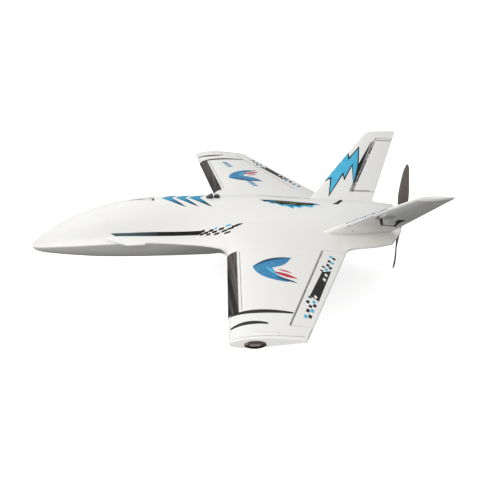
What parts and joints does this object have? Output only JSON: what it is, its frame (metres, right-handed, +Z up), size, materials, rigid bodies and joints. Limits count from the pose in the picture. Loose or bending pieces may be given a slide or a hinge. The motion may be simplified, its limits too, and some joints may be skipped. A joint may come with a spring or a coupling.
{
  "type": "rc foam airplane",
  "caption": "Foam radio-controlled aircraft: blended body, tapered plug-in wings, canted V-tail, pusher propeller, hinged surfaces with servo linkages, lift-off hatch.",
  "frame": {"origin": "on the flat face of the belly skid, in the plane of symmetry, below the leading edge of the wing root", "axes": "+X forward to the nose, +Y to port (the left wing), +Z up"},
  "size_m": [0.629, 0.8592, 0.1982],
  "materials": {
    "foam_white": "fine-beaded closed-cell foam, satin",
    "trim_white": "moulded white plastic, satin",
    "guard_film": "dark grey protective film, brushed gloss",
    "lens_red": "dark smoked lens, red tint, gloss",
    "lens_green": "dark smoked lens, green tint, gloss",
    "nylon_white": "nylon, satin",
    "horn_black": "black nylon, satin",
    "catch_black": "black plastic, satin",
    "steel_wire": "drawn steel wire",
    "servo_case": "translucent blue-black case",
    "carbon": "carbon fibre tube, satin",
    "motor_shell": "anodised dark grey",
    "motor_iron": "stator iron with copper",
    "mount_plate": "milled plate",
    "prop_plastic": "grey-brown glass-filled nylon",
    "nut_metal": "turned",
    "strap": "woven hook-and-loop strap",
    "battery_wrap": "heat-shrink wrap",
    "electronics": "heat-shrink and moulded case",
    "plywood": "birch plywood",
    "skid_plastic": "moulded skid, satin",
    "magnet": "nickel plated"
  },
  "bodies": {
    "airframe": {"aileron_hinge_pins_port": "nylon_white", "aileron_hinge_pins_starboard": "nylon_white", "aileron_servo_port": "servo_case", "aileron_servo_starboard": "servo_case", "battery": "battery_wrap", "battery_strap": "strap", "belly_skid": "skid_plastic", "equipment_tray": "plywood", "fuselage_deck": "foam_white", "fuselage_hull": "foam_white", "hatch_catch_keeper": "catch_black", "hatch_magnets_deck": "magnet", "leading_edge_guard_port": "guard_film", "leading_edge_guard_starboard": "guard_film", "motor_mount": "mount_plate", "motor_stator": "motor_iron", "nav_light_port": "lens_red", "nav_light_starboard": "lens_green", "nose_strake_port": "trim_white", "nose_strake_starboard": "trim_white", "receiver": "electronics", "ruddervator_hinge_pins_port": "nylon_white", "ruddervator_hinge_pins_starboard": "nylon_white", "ruddervator_servo_port": "servo_case", "ruddervator_servo_starboard": "servo_case", "speed_controller": "electronics", "tail_spar_port": "carbon", "tail_spar_starboard": "carbon", "tip_cover_port": "trim_white", "tip_cover_starboard": "trim_white", "vtail_port": "foam_white", "vtail_starboard": "foam_white", "wing_port": "foam_white", "wing_spar_front": "carbon", "wing_spar_rear": "carbon", "wing_starboard": "foam_white"},
    "aileron_port": {"aileron_port": "foam_white", "aileron_horn_port": "horn_black"},
    "aileron_rod_port": {"aileron_pushrod_port": "steel_wire"},
    "aileron_arm_port": {"aileron_servo_arm_port": "horn_black"},
    "aileron_starboard": {"aileron_starboard": "foam_white", "aileron_horn_starboard": "horn_black"},
    "aileron_rod_starboard": {"aileron_pushrod_starboard": "steel_wire"},
    "aileron_arm_starboard": {"aileron_servo_arm_starboard": "horn_black"},
    "ruddervator_port": {"ruddervator_port": "foam_white", "ruddervator_horn_port": "horn_black"},
    "ruddervator_rod_port": {"ruddervator_pushrod_port": "steel_wire"},
    "ruddervator_arm_port": {"ruddervator_servo_arm_port": "horn_black"},
    "ruddervator_starboard": {"ruddervator_starboard": "foam_white", "ruddervator_horn_starboard": "horn_black"},
    "ruddervator_rod_starboard": {"ruddervator_pushrod_starboard": "steel_wire"},
    "ruddervator_arm_starboard": {"ruddervator_servo_arm_starboard": "horn_black"},
    "rotor": {"motor_bell": "motor_shell", "propeller": "prop_plastic", "prop_nut": "nut_metal"},
    "hatch": {"hatch": "foam_white", "hatch_catch": "catch_black", "hatch_magnets_lid": "magnet"}
  },
  "joints": [
    {"name": "prop_spin", "type": "hinge", "parent": "airframe", "child": "rotor", "pos_m": [-0.297, 0, 0.047], "axis": [1, 0, 0], "continuous": true},
    {"name": "hatch_lift", "type": "slide", "parent": "airframe", "child": "hatch", "axis": [0, 0, 1], "range_m": [0, 0.11]},
    {"name": "aileron_port_hinge", "type": "hinge", "parent": "airframe", "child": "aileron_port", "pos_m": [-0.10684, 0.25464, 0.04481], "axis": [0.3228, 0.9462, -0.022], "range_deg": [-25, 25]},
    {"name": "aileron_rod_port_pivot", "type": "hinge", "parent": "aileron_port", "child": "aileron_rod_port", "pos_m": [-0.10693, 0.25439, 0.03281], "axis": [0.3228, 0.9462, -0.022], "range_deg": [-25.5, 25.5]},
    {"name": "aileron_arm_port_spin", "type": "hinge", "parent": "airframe", "child": "aileron_arm_port", "pos_m": [-0.04816, 0.23462, 0.04481], "axis": [0.3228, 0.9462, -0.022], "range_deg": [-25.5, 25.5]},
    {"name": "aileron_starboard_hinge", "type": "hinge", "parent": "airframe", "child": "aileron_starboard", "pos_m": [-0.10684, -0.25464, 0.04481], "axis": [-0.3228, 0.9462, 0.022], "range_deg": [-25, 25]},
    {"name": "aileron_rod_starboard_pivot", "type": "hinge", "parent": "aileron_starboard", "child": "aileron_rod_starboard", "pos_m": [-0.10693, -0.25439, 0.03281], "axis": [-0.3228, 0.9462, 0.022], "range_deg": [-25.5, 25.5]},
    {"name": "aileron_arm_starboard_spin", "type": "hinge", "parent": "airframe", "child": "aileron_arm_starboard", "pos_m": [-0.04816, -0.23462, 0.04481], "axis": [-0.3228, 0.9462, 0.022], "range_deg": [-25.5, 25.5]},
    {"name": "ruddervator_port_hinge", "type": "hinge", "parent": "airframe", "child": "ruddervator_port", "pos_m": [-0.25657, 0.12409, 0.09225], "axis": [-0.4503, 0.6959, 0.5595], "range_deg": [-25, 25]},
    {"name": "ruddervator_rod_port_pivot", "type": "hinge", "parent": "ruddervator_port", "child": "ruddervator_rod_port", "pos_m": [-0.25721, 0.13134, 0.08272], "axis": [-0.4503, 0.6959, 0.5595], "range_deg": [-25.5, 25.5]},
    {"name": "ruddervator_arm_port_spin", "type": "hinge", "parent": "airframe", "child": "ruddervator_arm_port", "pos_m": [-0.23247, 0.13457, 0.09862], "axis": [-0.4503, 0.6959, 0.5595], "range_deg": [-25.5, 25.5]},
    {"name": "ruddervator_starboard_hinge", "type": "hinge", "parent": "airframe", "child": "ruddervator_starboard", "pos_m": [-0.25657, -0.12409, 0.09225], "axis": [0.4503, 0.6959, -0.5595], "range_deg": [-25, 25]},
    {"name": "ruddervator_rod_starboard_pivot", "type": "hinge", "parent": "ruddervator_starboard", "child": "ruddervator_rod_starboard", "pos_m": [-0.25721, -0.13134, 0.08272], "axis": [0.4503, 0.6959, -0.5595], "range_deg": [-25.5, 25.5]},
    {"name": "ruddervator_arm_starboard_spin", "type": "hinge", "parent": "airframe", "child": "ruddervator_arm_starboard", "pos_m": [-0.23247, -0.13457, 0.09862], "axis": [0.4503, 0.6959, -0.5595], "range_deg": [-25.5, 25.5]}
  ],
  "couplings": [
    {"joint": "aileron_rod_port_pivot", "follows": "aileron_port_hinge", "ratio": -1},
    {"joint": "aileron_arm_port_spin", "follows": "aileron_port_hinge", "ratio": 1},
    {"joint": "aileron_rod_starboard_pivot", "follows": "aileron_starboard_hinge", "ratio": -1},
    {"joint": "aileron_arm_starboard_spin", "follows": "aileron_starboard_hinge", "ratio": 1},
    {"joint": "ruddervator_rod_port_pivot", "follows": "ruddervator_port_hinge", "ratio": -1},
    {"joint": "ruddervator_arm_port_spin", "follows": "ruddervator_port_hinge", "ratio": 1},
    {"joint": "ruddervator_rod_starboard_pivot", "follows": "ruddervator_starboard_hinge", "ratio": -1},
    {"joint": "ruddervator_arm_starboard_spin", "follows": "ruddervator_starboard_hinge", "ratio": 1}
  ]
}
